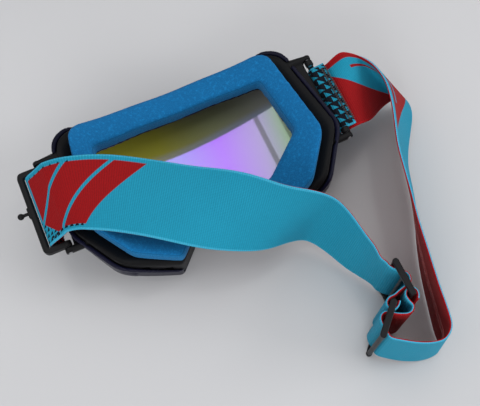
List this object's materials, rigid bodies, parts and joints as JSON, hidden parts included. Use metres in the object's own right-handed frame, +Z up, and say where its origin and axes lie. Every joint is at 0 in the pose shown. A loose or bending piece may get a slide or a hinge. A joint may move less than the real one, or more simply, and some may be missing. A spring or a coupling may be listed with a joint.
{
  "type": "motorcycle goggles",
  "caption": "Wide off-road riding goggles lying lens down, with a mirrored curved lens, foam face seal, strap outriggers and an adjustable elastic strap folded over and round to one side.",
  "frame": {"origin": "on the table straight below the middle of the lens, where the front rim rests", "axes": "+X along the width of the goggles, +Y towards the forehead edge, +Z up, away from the lens and towards the wearer's face"},
  "size_m": [0.2822, 0.2367, 0.0727],
  "materials": {
    "frame": "satin moulded black",
    "rim": "semi-gloss blue-black",
    "lens": "violet mirror coat outside, yellow tint seen through",
    "foam": "soft open-cell foam",
    "fleece": "brushed fleece",
    "vent_foam": "thin open-cell filter foam",
    "outrigger": "satin dark grey",
    "pin": "plain",
    "webbing": "woven elastic, cyan outside and dark red inside",
    "thread": "dense stitching",
    "slider": "satin moulded black",
    "grip": "clear silicone bead"
  },
  "bodies": {
    "frame": {"frame_body": "frame", "front_rim": "rim", "lens": "lens", "face_foam": "foam", "fleece_lining": "fleece", "vent_foam_top": "vent_foam", "vent_foam_lower_left": "vent_foam", "vent_foam_lower_right": "vent_foam", "hinge_pins_left": "pin", "hinge_pins_right": "pin", "strap_left": "webbing", "strap_right": "webbing", "grip_left": "grip", "grip_right": "grip"},
    "outrigger_left": {"outrigger_left": "outrigger", "tear_off_post_left": "outrigger", "strap_end_left": "webbing", "bar_tack_left": "thread"},
    "outrigger_right": {"outrigger_right": "outrigger", "tear_off_post_right": "outrigger", "strap_end_right": "webbing", "bar_tack_right": "thread"},
    "slider_a": {"slider_a": "slider"},
    "slider_b": {"slider_b": "slider"}
  },
  "joints": [
    {"name": "outrigger_left_hinge", "type": "hinge", "parent": "frame", "child": "outrigger_left", "pos_m": [-0.0965, 0.0055, 0.046], "axis": [0, 1, 0], "range_deg": [-12, 8]},
    {"name": "outrigger_right_hinge", "type": "hinge", "parent": "frame", "child": "outrigger_right", "pos_m": [0.0965, 0.0055, 0.046], "axis": [0, 1, 0], "range_deg": [-8, 12]},
    {"name": "slider_a_slack", "type": "slide", "parent": "frame", "child": "slider_a", "axis": [0, 0.9996, -0.03], "range_m": [-0.0008, 0.0008]},
    {"name": "slider_b_slack", "type": "slide", "parent": "frame", "child": "slider_b", "axis": [-0.7071, -0.7066, 0.0283], "range_m": [-0.0008, 0.0008]}
  ]
}
